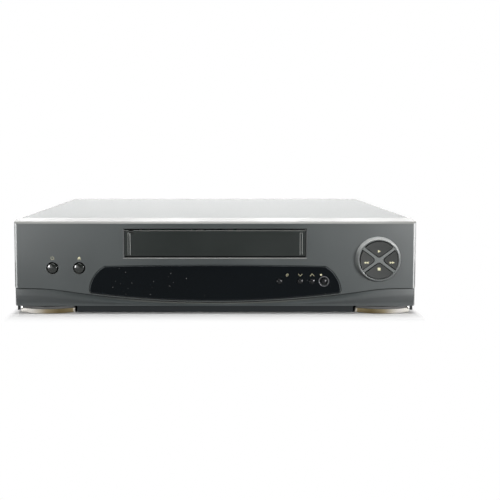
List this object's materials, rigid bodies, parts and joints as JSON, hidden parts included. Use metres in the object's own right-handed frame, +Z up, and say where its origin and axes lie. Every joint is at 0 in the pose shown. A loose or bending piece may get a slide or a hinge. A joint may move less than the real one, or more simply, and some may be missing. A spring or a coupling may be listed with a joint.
{
  "type": "video cassette recorder",
  "caption": "Full-width video cassette recorder: sprung cassette door over a curved smoked window, round transport keypad, buttons, moving cassette lift, reels and head drum.",
  "frame": {"origin": "on the floor below the middle of the overall bounding box", "axes": "+X to the right seen from the front, +Y to the back, +Z up; the front panel faces -Y"},
  "size_m": [0.43, 0.301, 0.102],
  "materials": {
    "panel_plastic": "fine matt grey moulding",
    "bezel_plastic": "satin grey moulding",
    "window_gloss": "smoked glossy acrylic",
    "ring_metal": "dull plated ring",
    "key_plastic": "satin grey key",
    "small_key_plastic": "dark satin key",
    "transport_key_plastic": "satin grey key",
    "door_plastic": "dark satin door",
    "spring_steel": "blackened spring wire",
    "cover_paint": "silver-grey paint",
    "plated_steel": "zinc-plated sheet",
    "foot_rubber": "black rubber",
    "gold_trim": "champagne metallised trim",
    "screw_steel": "dark screws",
    "board_resin": "printed circuit board",
    "switch_plastic": "small switches",
    "display_glass": "dark display tube",
    "sensor_plastic": "dark infrared window",
    "socket_plastic": "black socket",
    "connector_metal": "plated connectors",
    "tuner_can": "tin-plated can",
    "core_iron": "ferrite core and winding",
    "heat_sink_aluminium": "extruded aluminium",
    "capacitor_sleeve": "sleeved capacitors",
    "reel_plastic": "white acetal",
    "drum_aluminium": "machined casting",
    "drum_polished": "polished metal",
    "shaft_steel": "ground steel",
    "belt_rubber": "black rubber",
    "motor_can": "plated motor can"
  },
  "bodies": {
    "chassis": {"front_panel": "panel_plastic", "display_window": "window_gloss", "record_ring": "ring_metal", "transport_bezel": "bezel_plastic", "bottom_chassis": "plated_steel", "chassis_pillars": "plated_steel", "top_cover": "cover_paint", "rear_panel": "plated_steel", "front_feet": "foot_rubber", "foot_trims": "gold_trim", "rear_feet": "foot_rubber", "casing_screws": "screw_steel", "front_board": "board_resin", "tact_switches": "switch_plastic", "display_tube": "display_glass", "remote_sensor": "sensor_plastic", "jack_board": "board_resin", "scart_sockets": "socket_plastic", "audio_sockets": "connector_metal", "tuner": "tuner_can", "aerial_sockets": "connector_metal", "mains_inlet": "socket_plastic", "main_board": "board_resin", "power_board": "board_resin", "transformer": "core_iron", "heat_sink": "heat_sink_aluminium", "capacitors": "capacitor_sleeve", "deck_plate": "plated_steel", "deck_screws": "screw_steel", "lift_frames": "plated_steel", "drum_base": "drum_aluminium", "drive_belt": "belt_rubber", "loading_motor": "motor_can", "tape_heads": "drum_polished"},
    "door": {"cassette_door": "door_plastic", "door_spring": "spring_steel"},
    "power_button": {"power_button": "key_plastic"},
    "eject_button": {"eject_button": "key_plastic"},
    "timer_button": {"timer_button": "small_key_plastic"},
    "channel_down_button": {"channel_down_button": "small_key_plastic"},
    "channel_up_button": {"channel_up_button": "small_key_plastic"},
    "record_button": {"record_button": "small_key_plastic"},
    "play_key": {"play_key": "transport_key_plastic"},
    "stop_key": {"stop_key": "transport_key_plastic"},
    "rewind_key": {"rewind_key": "transport_key_plastic"},
    "forward_key": {"forward_key": "transport_key_plastic"},
    "lift": {"lift_slider": "plated_steel"},
    "holder": {"cassette_holder": "plated_steel"},
    "supply_reel": {"supply_reel": "reel_plastic"},
    "takeup_reel": {"takeup_reel": "reel_plastic"},
    "head_drum": {"head_drum": "drum_polished"},
    "capstan": {"capstan_flywheel": "shaft_steel"},
    "clutch": {"clutch": "reel_plastic"},
    "idler_arm": {"idler_arm": "plated_steel"},
    "idler_wheel": {"idler_wheel": "belt_rubber"},
    "pinch_arm": {"pinch_arm": "plated_steel"},
    "pinch_roller": {"pinch_roller": "belt_rubber"},
    "guide_left": {"guide_left": "shaft_steel"},
    "guide_right": {"guide_right": "shaft_steel"},
    "loading_cam": {"loading_cam": "reel_plastic"}
  },
  "joints": [
    {"name": "door_hinge", "type": "hinge", "parent": "chassis", "child": "door", "pos_m": [0, -0.142, 0.0891], "axis": [1, 0, 0], "range_deg": [0, 90], "stiffness_Nm_per_rad": 0.01, "springref_deg": -28.65},
    {"name": "power_button_press", "type": "slide", "parent": "chassis", "child": "power_button", "axis": [0, 1, 0], "range_m": [0, 0.0008], "stiffness_N_per_m": 400, "springref_m": -0.001},
    {"name": "eject_button_press", "type": "slide", "parent": "chassis", "child": "eject_button", "axis": [0, 1, 0], "range_m": [0, 0.0008], "stiffness_N_per_m": 400, "springref_m": -0.001},
    {"name": "timer_button_press", "type": "slide", "parent": "chassis", "child": "timer_button", "axis": [0, 1, 0], "range_m": [0, 0.0008], "stiffness_N_per_m": 400, "springref_m": -0.001},
    {"name": "channel_down_button_press", "type": "slide", "parent": "chassis", "child": "channel_down_button", "axis": [0, 1, 0], "range_m": [0, 0.0008], "stiffness_N_per_m": 400, "springref_m": -0.001},
    {"name": "channel_up_button_press", "type": "slide", "parent": "chassis", "child": "channel_up_button", "axis": [0, 1, 0], "range_m": [0, 0.0008], "stiffness_N_per_m": 400, "springref_m": -0.001},
    {"name": "record_button_press", "type": "slide", "parent": "chassis", "child": "record_button", "axis": [0, 1, 0], "range_m": [0, 0.0008], "stiffness_N_per_m": 400, "springref_m": -0.001},
    {"name": "play_key_press", "type": "slide", "parent": "chassis", "child": "play_key", "axis": [0, 1, 0], "range_m": [0, 0.0008], "stiffness_N_per_m": 600, "springref_m": -0.001},
    {"name": "stop_key_press", "type": "slide", "parent": "chassis", "child": "stop_key", "axis": [0, 1, 0], "range_m": [0, 0.0008], "stiffness_N_per_m": 600, "springref_m": -0.001},
    {"name": "rewind_key_press", "type": "slide", "parent": "chassis", "child": "rewind_key", "axis": [0, 1, 0], "range_m": [0, 0.0008], "stiffness_N_per_m": 600, "springref_m": -0.001},
    {"name": "forward_key_press", "type": "slide", "parent": "chassis", "child": "forward_key", "axis": [0, 1, 0], "range_m": [0, 0.0008], "stiffness_N_per_m": 600, "springref_m": -0.001},
    {"name": "lift_slide", "type": "slide", "parent": "chassis", "child": "lift", "axis": [0, 1, 0], "range_m": [0, 0.072]},
    {"name": "holder_lower", "type": "slide", "parent": "lift", "child": "holder", "axis": [0, 0, -1], "range_m": [0, 0.0254]},
    {"name": "supply_reel_spin", "type": "hinge", "parent": "chassis", "child": "supply_reel", "pos_m": [-0.046, -0.0442, 0.0245], "axis": [0, 0, 1], "continuous": true},
    {"name": "takeup_reel_spin", "type": "hinge", "parent": "chassis", "child": "takeup_reel", "pos_m": [0.046, -0.0442, 0.0245], "axis": [0, 0, 1], "continuous": true},
    {"name": "head_drum_spin", "type": "hinge", "parent": "chassis", "child": "head_drum", "pos_m": [0, 0.062, 0.031], "axis": [0, -0.1038, 0.9946], "continuous": true},
    {"name": "capstan_spin", "type": "hinge", "parent": "chassis", "child": "capstan", "pos_m": [0.056, 0.03, 0.0109], "axis": [0, 0, 1], "continuous": true},
    {"name": "clutch_spin", "type": "hinge", "parent": "chassis", "child": "clutch", "pos_m": [0, -0.016, 0.0109], "axis": [0, 0, 1], "continuous": true},
    {"name": "idler_swing", "type": "hinge", "parent": "chassis", "child": "idler_arm", "pos_m": [0, -0.016, 0.0285], "axis": [0, 0, 1], "range_deg": [-24, 24]},
    {"name": "idler_wheel_spin", "type": "hinge", "parent": "idler_arm", "child": "idler_wheel", "pos_m": [0, -0.046, 0.0245], "axis": [0, 0, 1], "continuous": true},
    {"name": "pinch_arm_swing", "type": "hinge", "parent": "chassis", "child": "pinch_arm", "pos_m": [0.08, 0.04, 0.0356], "axis": [0, 0, -1], "range_deg": [0, 22]},
    {"name": "pinch_roller_spin", "type": "hinge", "parent": "pinch_arm", "child": "pinch_roller", "pos_m": [0.06902, 0.02068, 0.039], "axis": [0, 0, 1], "continuous": true},
    {"name": "loading_cam_turn", "type": "hinge", "parent": "chassis", "child": "loading_cam", "pos_m": [-0.08, 0.062, 0.024], "axis": [0, 0, 1], "range_deg": [0, 180]},
    {"name": "guide_left_slide", "type": "slide", "parent": "chassis", "child": "guide_left", "axis": [-0.1104, 0.9939, 0], "range_m": [0, 0.05433]},
    {"name": "guide_right_slide", "type": "slide", "parent": "chassis", "child": "guide_right", "axis": [0.1104, 0.9939, 0], "range_m": [0, 0.05433]}
  ],
  "couplings": [
    {"joint": "guide_left_slide", "follows": "loading_cam_turn", "m_per_rad": 0.017294},
    {"joint": "guide_right_slide", "follows": "loading_cam_turn", "m_per_rad": 0.017294},
    {"joint": "clutch_spin", "follows": "capstan_spin", "ratio": 0.42857},
    {"joint": "idler_wheel_spin", "follows": "capstan_spin", "ratio": -0.47755}
  ]
}
